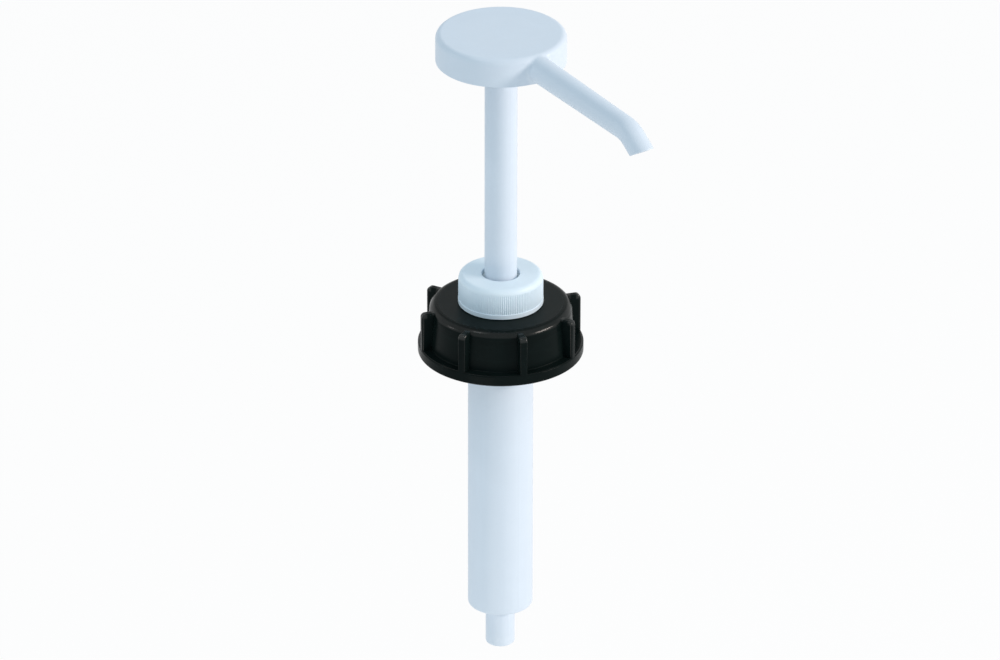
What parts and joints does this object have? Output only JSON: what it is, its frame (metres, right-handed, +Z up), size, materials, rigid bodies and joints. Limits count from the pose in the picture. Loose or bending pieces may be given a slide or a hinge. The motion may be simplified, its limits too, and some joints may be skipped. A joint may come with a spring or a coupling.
{
  "type": "dispensing pump",
  "caption": "Hand pump for a canister: disc head with a bent spout on a sprung stem, knurled collar, finned screw cap and a long cylinder with a dip tube spigot.",
  "frame": {"origin": "on the pump's axis, in the plane where the rim of the canister's neck meets the underside of the cap's gasket", "axes": "+Z up along the pump's axis, +X along the spout in plan"},
  "size_m": [0.1504, 0.076, 0.3125],
  "materials": {
    "white_plastic": "moulded, satin, cool white",
    "black_plastic": "moulded, satin, black",
    "natural_plastic": "moulded, undyed",
    "seal_rubber": "smooth, matt",
    "spring_steel": "drawn stainless wire",
    "ball_steel": "polished stainless"
  },
  "bodies": {
    "cap": {"adapter_cap": "black_plastic", "cap_gasket": "seal_rubber"},
    "barrel": {"pump_cylinder": "white_plastic", "neck_gasket": "seal_rubber", "stem_guide": "natural_plastic", "stem_wiper": "seal_rubber", "inlet_ball_cage": "natural_plastic", "main_spring": "spring_steel"},
    "collar": {"screw_collar": "white_plastic"},
    "piston": {"upper_cup_seal": "seal_rubber", "lower_cup_seal": "seal_rubber", "spring_washer": "natural_plastic"},
    "plunger": {"pump_head": "white_plastic", "head_seal_ring": "seal_rubber", "stem_tube": "white_plastic", "piston_carrier": "natural_plastic", "outlet_valve_seat": "natural_plastic", "outlet_ball_stop": "natural_plastic"},
    "inlet_valve": {"inlet_ball": "ball_steel"},
    "outlet_valve": {"outlet_ball": "ball_steel"}
  },
  "joints": [
    {"name": "pump_lift", "type": "slide", "parent": "cap", "child": "barrel", "axis": [0, 0, 1], "range_m": [0, 0.005]},
    {"name": "collar_unscrew", "type": "hinge", "parent": "barrel", "child": "collar", "pos_m": [0, 0, 0.012], "axis": [0, 0, 1], "range_deg": [0, 451]},
    {"name": "plunger_stroke", "type": "slide", "parent": "barrel", "child": "piston", "axis": [0, 0, -1], "range_m": [0, 0.1], "stiffness_N_per_m": 420, "springref_m": -0.02, "deforming": ["main_spring"]},
    {"name": "head_swivel", "type": "hinge", "parent": "piston", "child": "plunger", "pos_m": [0, 0, 0.13], "axis": [0, 0, 1], "continuous": true},
    {"name": "inlet_ball_lift", "type": "slide", "parent": "barrel", "child": "inlet_valve", "axis": [0, 0, 1], "range_m": [0, 0.0034]},
    {"name": "outlet_ball_lift", "type": "slide", "parent": "plunger", "child": "outlet_valve", "axis": [0, 0, 1], "range_m": [0, 0.0034]}
  ],
  "couplings": [
    {"joint": "collar_unscrew", "follows": "pump_lift", "rad_per_m": 1570.8}
  ]
}
